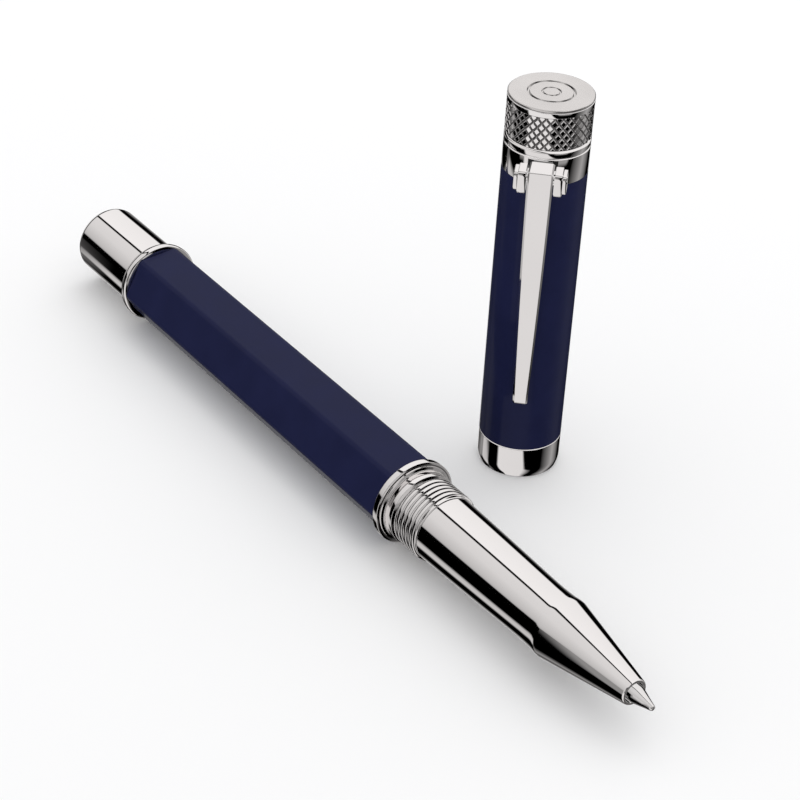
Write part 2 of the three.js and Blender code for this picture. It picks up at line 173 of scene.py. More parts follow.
# ---- camera, in metres from the pen's origin ----
CAMERA_OFFSET = Vector((0.2104, -0.1619, 0.1886))
CAMERA_RIGHT = Vector((0.5753, 0.8163, 0.0519))
CAMERA_BACK = Vector((0.6679, -0.5054, 0.5463))
CAMERA_LENS = 111.2

# ---- studio, as (degrees, brightness) ----
# Round the pen's axis: 0 is towards +Y, 90 up.
ROUND_THE_PEN = (
    (-180, 0),
    (-142, 0),
    (-134, 0.6),
    (-120, 0.66),
    (-112, 0),
    (-86, 0),
    (-72, 0.3),
    (-50, 0.9),
    (-38, 0.54),
    (-20, 0.12),
    (-10, 0),
    (11, 0),
    (15, 0.98),
    (90.6, 1.05),
    (91.2, 0),
    (97.0, 0),
    (97.6, 0.84),
    (130, 0.80),
    (163, 0.62),
    (170, 0.52),
    (173, 0),
    (180, 0),
)
# Round the cap's axis, below the horizon: 0 is towards +X, 90 towards +Y.
ROUND_THE_CAP = (
    (-180, 0.2),
    (-168, 0.31),
    (-150, 0.12),
    (-138, 0),
    (-99, 0),
    (-94, 0.86),
    (-24, 0.84),
    (-8, 0.26),
    (2, 0),
    (30, 0),
    (52, 0.2),
    (70, 0.4),
    (86, 0.22),
    (102, 0),
    (122, 0),
    (140, 0.42),
    (152, 0.24),
    (165, 0.04),
    (180, 0.2),
)


# ---- node material helpers ----
class Nodes:
    """A small wrapper that makes nodes and links them by name."""

    def __init__(self, tree):
        self.tree = tree
        tree.nodes.clear()

    def add(self, kind, inputs=None, **settings):
        node = self.tree.nodes.new(kind)
        for key, value in settings.items():
            setattr(node, key, value)
        for key, value in (inputs or {}).items():
            if isinstance(value, bpy.types.NodeSocket):
                self.tree.links.new(value, node.inputs[key])
            else:
                node.inputs[key].default_value = value
        return node

    def math(self, operation, *values):
        node = self.add("ShaderNodeMath", operation=operation)
        for i, value in enumerate(values):
            if isinstance(value, bpy.types.NodeSocket):
                self.tree.links.new(value, node.inputs[i])
            else:
                node.inputs[i].default_value = value
        return node.outputs[0]

    def ramp(self, factor, stops):
        """A colour ramp from (position, value) or (position, colour) stops."""
        node = self.add("ShaderNodeValToRGB", {"Fac": factor})
        elements = node.color_ramp.elements
        for position, _ in stops[1:-1]:
            elements.new(position)
        for element, (position, colour) in zip(elements, stops):
            element.position = position
            element.color = colour if isinstance(colour, tuple) else (colour, colour, colour, 1)
        return node.outputs["Color"]

    def spread(self, factor, low, high, start=0, end=1):
        """Goes from low to high as the factor goes from start to end, and stays level past them."""
        inputs = {"Value": factor, "From Min": start, "From Max": end, "To Min": low, "To Max": high}
        return self.add("ShaderNodeMapRange", inputs).outputs["Result"]

    def far_from(self, value, middle):
        return self.math("ABSOLUTE", self.math("SUBTRACT", value, middle))

    def fold(self, operation, first, *others):
        for other in others:
            first = self.math(operation, first, other)
        return first

    def mix(self, factor, first, second, kind="RGBA"):
        inputs = {"Factor": factor, "A": first, "B": second}
        return self.add("ShaderNodeMix", inputs, data_type=kind).outputs["Result"]


def surface(name, build):
    """A Principled material; build(nodes, position) returns its inputs."""
    material = bpy.data.materials.new(name)
    material.use_nodes = True
    nodes = Nodes(material.node_tree)
    position = nodes.add("ShaderNodeTexCoord").outputs["Object"]
    shader = nodes.add("ShaderNodeBsdfPrincipled", build(nodes, position))
    nodes.add("ShaderNodeOutputMaterial", {"Surface": shader.outputs[0]})
    return material


def noise(nodes, position, scale, detail=3.0, stretch=None):
    """Noise of that many features per metre; stretch scales it along each axis."""
    if stretch:
        position = nodes.add("ShaderNodeMapping", {"Vector": position, "Scale": stretch}).outputs[0]
    inputs = {"Vector": position, "Scale": scale, "Detail": detail}
    return nodes.add("ShaderNodeTexNoise", inputs).outputs[0]


def bump(nodes, height, strength, distance):
    inputs = {"Height": height, "Strength": strength, "Distance": distance}
    return nodes.add("ShaderNodeBump", inputs).outputs[0]


def polished(colour, dark, rough_low, rough_high):
    """Plated or polished metal: faint handling haze, and hairlines too fine to see singly."""

    def build(nodes, position):
        haze = noise(nodes, position, 90, 4)
        hairs = noise(nodes, position, 900, 2, stretch=(0.12, 1, 1))
        return {
            "Base Color": nodes.mix(haze, colour, dark),
            "Metallic": 1.0,
            "Roughness": nodes.spread(haze, rough_low, rough_high),
            "Normal": bump(nodes, hairs, 0.03, 0.00002),
        }

    return build


def lacquer(nodes, position):
    """Deep blue lacquer under a clear coat that has a slight flow to it."""
    depth = noise(nodes, position, 220, 5)
    flow = noise(nodes, position, 320, 2)
    deep = (0.0080, 0.0104, 0.045, 1)
    light = (0.0098, 0.0125, 0.053, 1)
    return {
        "Base Color": nodes.ramp(depth, [(0.3, deep), (0.7, light)]),
        "Roughness": nodes.spread(depth, 0.45, 0.6),
        "Specular IOR Level": 0.08,
        "Coat Weight": 0.18,
        "Coat IOR": 1.3,
        "Coat Roughness": 0.03,
        "Coat Normal": bump(nodes, flow, 0.06, 0.00003),
    }


def axis_distance(nodes, position):
    """Distance of a point from the cap's axis, in metres."""
    inputs = {0: position, 1: CAP_ORIGIN.to_tuple()}
    offset = nodes.add("ShaderNodeVectorMath", inputs, operation="SUBTRACT").outputs[0]
    flat = nodes.add("ShaderNodeVectorMath", {0: offset, 1: (1, 1, 0)}, operation="MULTIPLY").outputs[0]
    return nodes.add("ShaderNodeVectorMath", {0: flat}, operation="LENGTH").outputs["Value"]


def spun(nodes, position):
    """Satin metal turned about the cap's axis, with its fine circular lines."""
    radius = axis_distance(nodes, position)
    inputs = {"W": radius, "Scale": 9000.0, "Detail": 2.0}
    lines = nodes.add("ShaderNodeTexNoise", inputs, noise_dimensions="1D").outputs[0]
    haze = noise(nodes, position, 160, 3)
    return {
        "Base Color": nodes.ramp(haze, [(0.3, (0.66, 0.64, 0.63, 1)), (0.7, (0.72, 0.70, 0.69, 1))]),
        "Metallic": 1.0,
        "Roughness": nodes.spread(lines, 0.2, 0.34),
        "Normal": bump(nodes, lines, 0.12, 0.00002),
    }


def knurled(nodes, position):
    """Polished lands, and matt grooves with painted shade: their colour darkens towards the groove
    bottoms.
    """
    haze = noise(nodes, position, 90, 4)
    radius = axis_distance(nodes, position)
    # Painted shade: the colour goes from the light land colour to the dark groove colour as the surface
    # sinks below the lands, by distance from the cap's axis.
    cut = nodes.spread(radius, 1, 0, (CAP_R - 0.15) * MM, (CAP_R - 0.05) * MM)
    land = nodes.ramp(haze, [(0.3, (0.87, 0.855, 0.85, 1)), (0.7, (0.90, 0.885, 0.88, 1))])
    painted_groove_shade = nodes.ramp(haze, [(0.3, (0.15, 0.145, 0.145, 1)), (0.7, (0.24, 0.23, 0.23, 1))])
    return {
        "Base Color": nodes.mix(cut, land, painted_groove_shade),
        "Metallic": 1.0,
        "Roughness": nodes.spread(cut, 0.03, 0.5),
        "Normal": bump(nodes, noise(nodes, position, 2500, 2), 0.04, 0.00002),
    }


def moulded(colour, lighter, rough):
    """Moulded plastic, rubber or fibre, with a fine grain."""

    def build(nodes, position):
        grain = noise(nodes, position, 1800, 3)
        return {
            "Base Color": nodes.ramp(grain, [(0.3, colour), (0.7, lighter)]),
            "Roughness": nodes.spread(grain, rough - 0.07, rough + 0.07),
            "Normal": bump(nodes, grain, 0.1, 0.00003),
        }

    return build


LOOKS = {
    "chrome": surface("chrome", polished((0.85, 0.83, 0.825, 1), (0.81, 0.79, 0.785, 1), 0.02, 0.05)),
    "steel": surface("steel", polished((0.80, 0.785, 0.78, 1), (0.74, 0.73, 0.725, 1), 0.06, 0.12)),
    "brass": surface("brass", polished((0.80, 0.60, 0.30, 1), (0.66, 0.47, 0.21, 1), 0.18, 0.32)),
    "refill": surface("refill_metal", polished((0.70, 0.70, 0.72, 1), (0.62, 0.62, 0.64, 1), 0.2, 0.33)),
    "lacquer": surface("lacquer", lacquer),
    "spun": surface("spun_disc", spun),
    # The knurled chrome carries painted shade in its grooves.
    "knurled": surface("knurled_chrome_painted_groove_shade", knurled),
    "liner": surface("black_plastic", moulded((0.012, 0.012, 0.013, 1), (0.02, 0.02, 0.022, 1), 0.45)),
    "rubber": surface("rubber", moulded((0.010, 0.010, 0.010, 1), (0.018, 0.018, 0.018, 1), 0.75)),
    "neck": surface("white_plastic", moulded((0.74, 0.74, 0.70, 1), (0.80, 0.80, 0.76, 1), 0.5)),
    "ink": surface("ink_fibre", moulded((0.010, 0.014, 0.10, 1), (0.016, 0.02, 0.14, 1), 0.85)),
}


# ---- mesh helpers ----
def softened(points, steps=5):
    """Rounds the corners of an outline of (x, y) or (x, y, rounding) points; the ends stay as they are."""
    out = []
    for i, point in enumerate(points):
        corner = Vector(point[:2])
        reach = point[2] if len(point) > 2 else 0
        if not reach or i in (0, len(points) - 1):
            out.append(tuple(corner))
            continue
        before = Vector(points[i - 1][:2]) - corner
        after = Vector(points[i + 1][:2]) - corner
        start = corner + before.normalized() * min(reach, before.length * 0.49)
        end = corner + after.normalized() * min(reach, after.length * 0.49)
        for k in range(steps + 1):
            t = k / steps
            spot = start * (1 - t) ** 2 + corner * 2 * t * (1 - t) + end * t * t
            out.append(tuple(spot))
    return out


def placed_mesh(name, verts, faces, place):
    """A mesh in its place, with doubled points joined and its faces turned outwards."""
    mesh = bpy.data.meshes.new(name)
    mesh.from_pydata([tuple(v) for v in verts], [], faces)
    mesh.transform(place)
    work = bmesh.new()
    work.from_mesh(mesh)
    bmesh.ops.remove_doubles(work, verts=work.verts, dist=2e-8)
    bmesh.ops.recalc_face_normals(work, faces=work.faces)
    work.to_mesh(mesh)
    work.free()
    return mesh


def smoothed(mesh, crease=CREASE):
    """Smooth shading, broken at edges sharper than the crease angle, in degrees."""
    for face in mesh.polygons:
        face.use_smooth = True
    mesh.set_sharp_from_angle(angle=math.radians(crease))


def linked(name, data):
    obj = bpy.data.objects.new(name, data)
    bpy.context.scene.collection.objects.link(obj)
    return obj


def piece(name, verts, faces, place, body, stands_for, look, crease=CREASE):
    """A finished mesh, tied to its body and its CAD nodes."""
    mesh = placed_mesh(name, verts, faces, place)
    smoothed(mesh, crease)
    mesh.materials.append(LOOKS[look])
    obj = linked(name, mesh)
    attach(obj, body)
    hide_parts(*stands_for)
    return obj


def circle(radius, along, around):
    """Points round the axis, at one place along it; the radius may depend on the angle."""
    points = []
    for k in range(around):
        angle = TURN * k / around
        reach = radius(angle) if callable(radius) else radius
        points.append((reach * math.cos(angle), reach * math.sin(angle), along))
    return points


def turned(profile, around=160, steps=5, closed=None):
    """Vertices and faces of a turned shape from (radius, along[, rounding]) points."""
    outline = softened(profile, steps)
    if closed is None:
        closed = outline[0][0] > 1e-6 and outline[-1][0] > 1e-6
    verts = []
    rings = []
    for radius, along in outline:
        if radius < 1e-6:
            rings.append([len(verts)] * around)
            verts.append((0, 0, along))
            continue
        rings.append([len(verts) + k for k in range(around)])
        verts += circle(radius, along, around)
    pairs = list(zip(rings, rings[1:]))
    if closed:
        pairs.append((rings[-1], rings[0]))
    faces = []
    for low, high in pairs:
        for k in range(around):
            n = (k + 1) % around
            corners = [low[k], low[n], high[n], high[k]]
            face = list(dict.fromkeys(corners))
            if len(face) > 2:
                faces.append(face)
    return verts, faces


def lathe(name, profile, place, body, stands_for, look, slot=None, crease=CREASE, **fineness):
    verts, faces = turned(profile, **fineness)
    piece(name, verts, faces, place, body, stands_for, look, crease)


def sleeve(rows, inner, around):
    """A tube whose outside is rows of (along, radius at angle); inner is its bore radius."""
    verts = []
    for along, radius_at in rows:
        verts += circle(radius_at, along, around)
    for along in (rows[-1][0], rows[0][0]):
        verts += circle(inner, along, around)
    count = len(rows) + 2
    faces = []
    for i in range(count):
        j = (i + 1) % count
        for k in range(around):
            n = (k + 1) % around
            faces.append([i * around + k, i * around + n, j * around + n, j * around + k])
    return verts, faces


def smoothstep(t):
    """Eases from 0 to 1 as t goes from 0 to 1."""
    t = min(max(t, 0), 1)
    return t * t * (3 - 2 * t)


def prism(outline, y0, y1, bevel=0.0):
    """A plate in the clip's plane from (x, z) points, with its two faces drawn in by the bevel."""
    middle = sum((Vector(p) for p in outline), Vector((0, 0))) / len(outline)
    levels = [(y0, 0), (y1, 0)]
    if bevel:
        levels = [(y0, bevel), (y0 + bevel, 0), (y1 - bevel, 0), (y1, bevel)]
    verts = []
    for y, inset in levels:
        for p in outline:
            spoke = Vector(p) - middle
            spot = middle + spoke * (1 - inset / spoke.length)
            verts.append((spot.x, y, spot.y))
    count = len(outline)
    faces = [list(range(count)), list(range((len(levels) - 1) * count, len(levels) * count))]
    for level in range(len(levels) - 1):
        for k in range(count):
            n = (k + 1) % count
            low = level * count
            faces.append([low + k, low + n, low + count + n, low + count + k])
    return verts, faces


def joined(*shapes):
    """Several shapes' vertices and faces as one list of each."""
    verts, faces = [], []
    for more_verts, more_faces in shapes:
        base = len(verts)
        verts += more_verts
        faces += [[base + i for i in face] for face in more_faces]
    return verts, faces


# ---- barrel ----
def hexagon_radius(angle):
    """Distance from the axis to the barrel's rounded six-sided outline."""
    half = math.pi / 6
    centre = HEX_R - HEX_ROUND / math.cos(half)
    apothem = HEX_R * math.cos(half)
    a = (angle - BARREL_ROLL) % (2 * half)
    if a > half:
        a = 2 * half - a
    # The corner's round ends at its foot, where the flat takes over.
    foot = math.atan2(HEX_ROUND * math.sin(half), centre + HEX_ROUND * math.cos(half))
    if a >= foot:
        return apothem / math.cos(half - a)
    side = centre * math.sin(a)
    return centre * math.cos(a) + math.sqrt(HEX_ROUND**2 - side**2)


def barrel():
    """The lacquered barrel, with a small chamfer at each end."""
    length = -BARREL_BACK
    end = length - GAP
    stations = [(0, BARREL_CHAMFER), (BARREL_CHAMFER, 0)]
    stations += [(length * k / 12, 0) for k in range(1, 12)]
    stations += [(end - BARREL_CHAMFER, 0), (end, BARREL_CHAMFER)]
    rows = [(BARREL_BACK + at, lambda a, cut=cut: hexagon_radius(a) - cut) for at, cut in stations]
    verts, faces = sleeve(rows, BARREL_BORE, 288)
    piece("barrel_lacquer", verts, faces, PEN, "barrel", ["barrel_tube"], "lacquer", crease=40)


def barrel_rings():
    """The trim rings at the two ends of the lacquer, and the tail behind them."""
    front = [
        (RING_BORE, 0),
        (RING_R - 0.15, 0, 0.08),
        (RING_R, 0.12, 0.08),
        (RING_R, 0.98, 0.06),
        (5.84, 1.08, 0.04),
        (5.64, 1.09, 0.02),
        (RING_LIP_R, 1.11, 0.02),
        (RING_LIP_R, 1.28, 0.02),
        (SLEEVE_R + 0.02, 1.38, 0.03),
        (SLEEVE_R, RING_FRONT),
        (RING_BORE, RING_FRONT),
    ]
    lathe("front_ring", front, PEN, "barrel", ["front_trim_ring"], "chrome")
    rear = [
        (REAR_RING_BORE, REAR_RING_BACK),
        (5.3, REAR_RING_BACK, 0.1),
        (RING_R - 0.12, REAR_RING_BACK + 0.83, 0.14),
        (RING_R, REAR_RING_BACK + 1.15, 0.3),
        (RING_R, REAR_RING_FRONT - 0.2, 0.42),
        (5.5, REAR_RING_FRONT, 0.2),
        (REAR_RING_BORE, REAR_RING_FRONT),
    ]
    lathe("rear_ring", rear, PEN, "barrel", ["rear_trim_ring"], "chrome", steps=10)
    tail = [
        (0, PEN_TAIL),
        (TAIL_R, PEN_TAIL, TAIL_ROUND),
        (TAIL_R, TAIL_FRONT),
        (TAIL_BORE, TAIL_FRONT),
        (TAIL_BORE, PEN_TAIL + TAIL_END_THICK),
        (0, PEN_TAIL + TAIL_END_THICK),
    ]
    lathe("tail", tail, PEN, "barrel", ["tail_cap"], "chrome", steps=10)


# ---- grip section ----
def thread_rows(start, end, root, crest, pitch, step=0.024):
    """Outside of a threaded length, its ridge running in at one end and out at the other."""
    run = 0.5 * pitch
    flank = 0.17
    dome = 0.35

    def radius(along, angle):
        turn = (along - pitch * angle / TURN) / pitch % 1
        ridge = smoothstep((0.5 - abs(turn - 0.5)) / flank)
        crown = 1 - dome * (2 * turn - 1) ** 2
        fade = smoothstep((along - start) / run) * smoothstep((end - along) / run)
        return root + (crest - root) * ridge * crown * fade

    count = max(int((end - start) / step), 2)
    levels = [start + (end - start) * k / count for k in range(count + 1)]
    return [(along, lambda a, along=along: radius(along, a)) for along in levels]


def plain_rows(points):
    """Rows of a plain turned length, from (radius, along[, rounding]) points."""
    return [(along, lambda a, r=r: r) for r, along in softened(points)]


def cap_thread():
    """The plain collar, and the male thread that the cap screws on to."""
    root = THREAD_R - THREAD_DEPTH
    back = THREAD_BACK + 0.1
    front = THREAD_BACK + THREAD_TURNS * THREAD_PITCH + 0.05
    collar = [
        (SLEEVE_R - 0.06, SLEEVE_BACK),
        (SLEEVE_R, SLEEVE_BACK + 0.06),
        (SLEEVE_R, THREAD_BACK - 0.04, 0.05),
        (root, back),
    ]
    rows = plain_rows(collar)
    rows += thread_rows(back, front, root, THREAD_R, THREAD_PITCH)[1:]
    rows += plain_rows([(root, front + 0.04), (root - 0.05, front + 0.08)])
    verts, faces = sleeve(rows, SLEEVE_BORE, 144)
    piece("cap_thread", verts, faces, PEN, "section", ["cap_thread_sleeve"], "chrome", crease=50)


def grip():
    """The grip: a waist, a flare and the nose cone, bored through for the refill."""
    profile = [
        (GRIP_BACK_BORE, SLEEVE_BACK),
        (GRIP_NECK_R, SLEEVE_BACK),
        (GRIP_NECK_R, GRIP_STEP),
        (4.62, GRIP_STEP, 0.1),
        (4.73, GRIP_STEP + 0.11, 0.06),
        (4.45, 18.5, 5),
        (4.155, 27.4, 5),
        (4.2, 30.2, 1.4),
        (4.37, 32.05, 0.45),
        (1.83, NOSE_MOUTH - 0.18, 0.12),
        (1.72, NOSE_MOUTH, 0.06),
        (NOSE_BORE, NOSE_MOUTH, 0.05),
        (NOSE_BORE, NOSE_MOUTH - 0.4),
        (1.5, 38.5),
        (GRIP_BORE, 32),
        (GRIP_BORE, 8),
        (GRIP_BACK_BORE, 8),
    ]
    lathe("grip", profile, PEN, "section", ["grip_section"], "chrome", crease=24, around=192, steps=8)


def stud():
    """The brass stud, whose thread turns in the barrel's bush, and its seal ring."""
    rows = plain_rows([(3.6, STUD_BACK), (3.75, STUD_BACK + 0.2)])
    rows += thread_rows(STUD_BACK + 0.3, 0, STUD_ROOT, STUD_R, STUD_PITCH, 0.06)
    rows += plain_rows([(STUD_R, 0.2), (STUD_R, 1.3), (STUD_FRONT_R, 1.4), (STUD_FRONT_R, STUD_FRONT)])
    verts, faces = sleeve(rows, STUD_BORE, 96)
    piece("stud", verts, faces, PEN, "section", ["section_stud"], "brass", crease=50)
    seal = []
    for k in range(20):
        a = TURN * k / 20
        seal.append((SEAL_RING_R + SEAL_R * math.cos(a), SEAL_AT + SEAL_R * math.sin(a)))
    lathe("seal_ring", seal, PEN, "section", ["section_seal_ring"], "rubber", around=96)


# ---- writing end ----
def writing_end():
    """The refill's steel point, and the ball in its seat."""
    point = [
        (0, POINT_BACK),
        (1.2, POINT_BACK, 0.1),
        (1.17, 46.75, 0.3),
        (0.6, 48.75, 0.4),
        (0.42, PEN_TIP - 0.3, 0.1),
        (0.33, PEN_TIP - 0.13),
        (0.31, PEN_TIP - 0.13),
        (SEAT_R, PEN_TIP - 0.4),
        (SEAT_R, PEN_TIP - SEAT_DEPTH),
        (0, PEN_TIP - SEAT_DEPTH),
    ]
    lathe("writing_tip", point, PEN, "refill", ["refill_tip"], "steel", around=96, closed=False)
    middle = PEN_TIP - BALL_R
    ball = [(0, middle - BALL_R)]
    for k in range(1, 24):
        a = math.pi * k / 24
        ball.append((BALL_R * math.sin(a), middle - BALL_R * math.cos(a)))
    ball.append((0, PEN_TIP))
    lathe("ball", ball, PEN, "ball", ["writing_ball"], "steel", around=48, closed=False)


# ---- cap ----
def cap_shell():
    """The lip ring, and the lacquered tube above it."""
    lip_top = LIP_H - 0.03
    lip = [
        (CAP_BORE - 0.1, 0.12, 0.05),
        (CAP_BORE - 0.08, 0, 0.03),
        (CAP_R - 0.28, 0, 0.08),
        (CAP_R, 0.85, 0.6),
        (CAP_R, lip_top, 0.07),
        (CAP_BORE, lip_top),
        (CAP_BORE, 1.5),
        (CAP_BORE - 0.1, 1.4),
    ]
    lathe("lip_ring", lip, CAP, "cap", ["cap_lip_ring"], "chrome", steps=8)
    tube = [
        (CAP_BORE, LIP_H + GAP),
        (CAP_R, LIP_H + GAP, 0.08),
        (CAP_R, BAND_Z - GAP, 0.08),
        (CAP_BORE, BAND_Z - GAP),
    ]
    lathe("cap_barrel", tube, CAP, "cap", ["cap_tube"], "lacquer", around=192)


def cap_inside():
    """The black liner that takes the thread, and the cup that closes over the nib."""
    liner = [
        (LINER_BORE, LINER_BOTTOM, 0.05),
        (LINER_R, LINER_BOTTOM, 0.05),
        (LINER_R, LINER_TOP),
        (LINER_BORE, LINER_TOP),
    ]
    lathe("cap_liner", liner, CAP, "cap", ["cap_thread_liner"], "liner")
    cup = [
        (4.75, CUP_BOTTOM, 0.2),
        (LINER_R, CUP_BOTTOM, 0.1),
        (LINER_R, BAND_Z - 0.3),
        (CUP_NECK_R, BAND_Z - 0.3),
        (CUP_NECK_R, CUP_TOP),
        (0, CUP_TOP),
        (0, CUP_TOP - 0.6),
        (2.2, CUP_TOP - 0.6, 0.4),
        (2.7, 44, 1),
    ]
    lathe("seal_cup", cup, CAP, "cap", ["inner_seal_cup"], "liner", closed=True)


def window_cutter():
    """The block that cuts the band's window, where the clip's tail passes through."""
    bottom = PIN_Z - 0.1
    top = PIN_Z + 1.75
    outline = [(4.2, bottom), (7.2, bottom), (7.2, top), (4.2, top)]
    verts, faces = prism(outline, -WINDOW_HALF, WINDOW_HALF)
    return linked("window", placed_mesh("window", verts, faces, CAP))


def band():
    """The clip band, with a groove round it and the clip's window through it."""
    groove_r = CAP_R - BAND_GROOVE
    top = CROWN_Z - 0.15
    profile = [
        (BAND_BORE, BAND_Z),
        (CAP_R, BAND_Z, 0.06),
        (CAP_R, GROOVE_Z - 0.08, 0.06),
        (groove_r, GROOVE_Z - 0.03, 0.04),
        (groove_r, GROOVE_Z + 0.12, 0.04),
        (CAP_R, GROOVE_Z + 0.17, 0.06),
        (CAP_R, top - 0.15, 0.06),
        (CAP_R - 0.25, top, 0.05),
        (BAND_BORE, top),
    ]
    verts, faces = turned(profile, 192, 3)
    ring = piece("clip_ring", verts, faces, CAP, "cap", ["clip_band"], "chrome")
    cutter = window_cutter()
    cut = ring.modifiers.new("window", "BOOLEAN")
    cut.operation = "DIFFERENCE"
    cut.solver = "EXACT"
    cut.object = cutter
    bpy.context.view_layer.update()
    opened = ring.evaluated_get(bpy.context.evaluated_depsgraph_get())
    mesh = bpy.data.meshes.new_from_object(opened)
    ring.modifiers.clear()
    ring.data = mesh
    smoothed(mesh)
    bpy.data.objects.remove(cutter)


def diamond(work, column, level, tall):
    """One raised diamond of the knurl, laid flat: (turns of the pattern, height, height off the belt)."""
    knots = [0, KNURL_GROOVE, 0.5, 1 - KNURL_GROOVE, 1]
    last = len(knots) - 1
    grid = {}
    for i, s in enumerate(knots):
        for j, t in enumerate(knots):
            across = column + 0.5 * (level % 2) + (s - t) / 2
            up = CROWN_Z + tall * (0.5 * level - 0.5 + (s + t) / 2)
            edge = i in (0, last) or j in (0, last)
            grid[i, j] = work.verts.new((across, up, -KNURL_DEPTH if edge else 0))
    for i in range(last):
        for j in range(last):
            work.faces.new((grid[i, j], grid[i + 1, j], grid[i + 1, j + 1], grid[i, j + 1]))


def knurl():
    """The knurled belt: crossing V grooves that leave diamonds, trimmed level and wrapped round."""
    tall = (KNURL_TOP - CROWN_Z) / KNURL_ROWS
    work = bmesh.new()
    for column in range(KNURL_ROUND):
        for level in range(-1, 2 * math.ceil(KNURL_ROWS) + 1):
            diamond(work, column, level, tall)
    bmesh.ops.remove_doubles(work, verts=work.verts, dist=1e-4)
    for height, way in ((CROWN_Z + 0.12, -1), (KNURL_TOP, 1)):
        bmesh.ops.bisect_plane(
            work,
            geom=work.verts[:] + work.edges[:] + work.faces[:],
            plane_co=(0, height, 0),
            plane_no=(0, way, 0),
            clear_outer=True,
        )
    verts = []
    for v in work.verts:
        a = TURN * v.co.x / KNURL_ROUND
        r = CAP_R - 0.02 + v.co.z
        verts.append((r * math.cos(a), r * math.sin(a), v.co.y))
    work.verts.index_update()
    faces = [[v.index for v in face.verts] for face in work.faces]
    work.free()
    return verts, faces


def crown():
    """The crown: a core with a full-width rim, and the knurled belt round it."""
    core_r = CAP_R - 0.25
    rim_bore = CAP_R - 0.36
    rim_top = CAP_H - 0.45
    top = CAP_H - 0.53
    core = [
        (CROWN_BORE, CROWN_Z - 0.1),
        (core_r, CROWN_Z - 0.1, 0.05),
        (core_r, KNURL_TOP + 0.02),
        (CAP_R, KNURL_TOP + 0.05, 0.03),
        (CAP_R, rim_top, 0.05),
        (rim_bore, rim_top, 0.03),
        (rim_bore, top),
        (0, top),
        (0, top - 1),
        (CROWN_BORE, top - 1),
    ]
    verts, faces = joined(turned(core, 192, 4, closed=True), knurl())
    piece("crown", verts, faces, CAP, "cap", ["knurled_crown"], "knurled", crease=20)


def engraved(radius, top_half, bottom_half, depth):
    """Profile of a circle cut in the top disc, from its outside in."""
    floor = CAP_H - depth
    return [
        (radius + top_half, CAP_H, 0.03),
        (radius + bottom_half, floor, 0.03),
        (radius - bottom_half, floor, 0.03),
        (radius - top_half, CAP_H, 0.03),
    ]


def top_disc():
    """The disc on the crown, on a narrower neck, with two plain engraved circles."""
    neck = CAP_R - 0.34
    edge = CAP_R - 0.02
    under = CAP_H - 0.28
    profile = [
        (0, DISC_BOTTOM),
        (neck, DISC_BOTTOM),
        (neck, under, 0.02),
        (edge, under, 0.02),
        (edge, CAP_H - 0.1, 0.03),
        (edge - 0.1, CAP_H, 0.05),
    ]
    profile += engraved(OUTER_CIRCLE_R, 0.18, 0.12, 0.32)
    profile += engraved(INNER_CIRCLE_R, 0.13, 0.09, 0.24)
    profile.append((0, CAP_H))
    lathe("top_disc", profile, CAP, "cap", ["crown_disc"], "spun", slot="chrome", around=192, closed=False)


# ---- clip ----
def knuckle_side(shrink):
    """Side outline of a knuckle: flat top, generous round to its front face, a small break below."""
    back = 5.5
    front = PIN_X + 0.95 - shrink
    lower = PIN_Z - 2 + shrink
    top = CLIP_TOP - shrink
    return softened([(back, lower), (front, lower, 0.35), (front, top, 0.7), (back, top)], 8)


def clip_bracket():
    """Two knuckles on the band: each a thick lug, a thinner flange outside it and a saddle behind."""
    low = BAND_Z + 0.4
    high = PIN_Z - 0.3
    saddle = [(5.4, low), (6.05, low), (6.05, high), (5.4, high)]
    plates = [
        (knuckle_side(0), 1.8, 2.88, 0.1),
        (knuckle_side(0.28), 2.84, 3.4, 0.08),
        (saddle, 0.2, 3.2, 0),
    ]
    shapes = []
    for side in (-1, 1):
        for outline, inner, outer, bevel in plates:
            y0, y1 = sorted((side * inner, side * outer))
            shapes.append(prism(outline, y0, y1, bevel))
    verts, faces = joined(*shapes)
    piece("clip_knuckles", verts, faces, CAP, "cap", ["clip_bracket"], "chrome", crease=28)


def arm_stations():
    """Stations down the arm: (front x, front z, back x, back z, half width)."""
    foot = CLIP_FOOT_Z
    outer = PIN_X + 0.9
    root = BAND_BORE + 0.1
    head_back = 6.3
    head_under = PIN_Z + 0.4
    stations = [
        (root, CLIP_TOP, root, PIN_Z + 0.5, 1.6),
        (outer - HEAD_ROUND, CLIP_TOP, head_back, head_under, 1.64),
    ]
    for k in range(1, 7):
        a = math.radians(90 - 15 * k)
        x = outer - HEAD_ROUND + HEAD_ROUND * math.cos(a)
        z = CLIP_TOP - HEAD_ROUND + HEAD_ROUND * math.sin(a)
        stations.append((x, z, head_back + 0.07 * k, head_under - 0.27 * k, ARM_HALF))
    shaft_top = PIN_Z - 1.3
    shaft_back = PIN_X - 0.25
    for k in range(17):
        t = k / 16
        z = shaft_top + (foot + 1.5 - shaft_top) * t
        front = outer - 0.02 - (outer - CAP_R - 1.12) * t
        back = shaft_back - (shaft_back - CAP_R - 0.35) * t
        half = ARM_HALF - 0.24 * t - 0.4 * t * t
        stations.append((front, z, back, z, half))
    stations += [
        (CAP_R + 1.1, foot + 0.75, CAP_R + 0.14, foot + 1.1, 1.0),
        (CAP_R + 1.05, foot + 0.2, CAP_R + 0.14, foot + 0.6, 0.98),
        (CAP_R + 0.9, foot, CAP_R + 0.3, foot + 0.1, 0.96),
    ]
    return stations


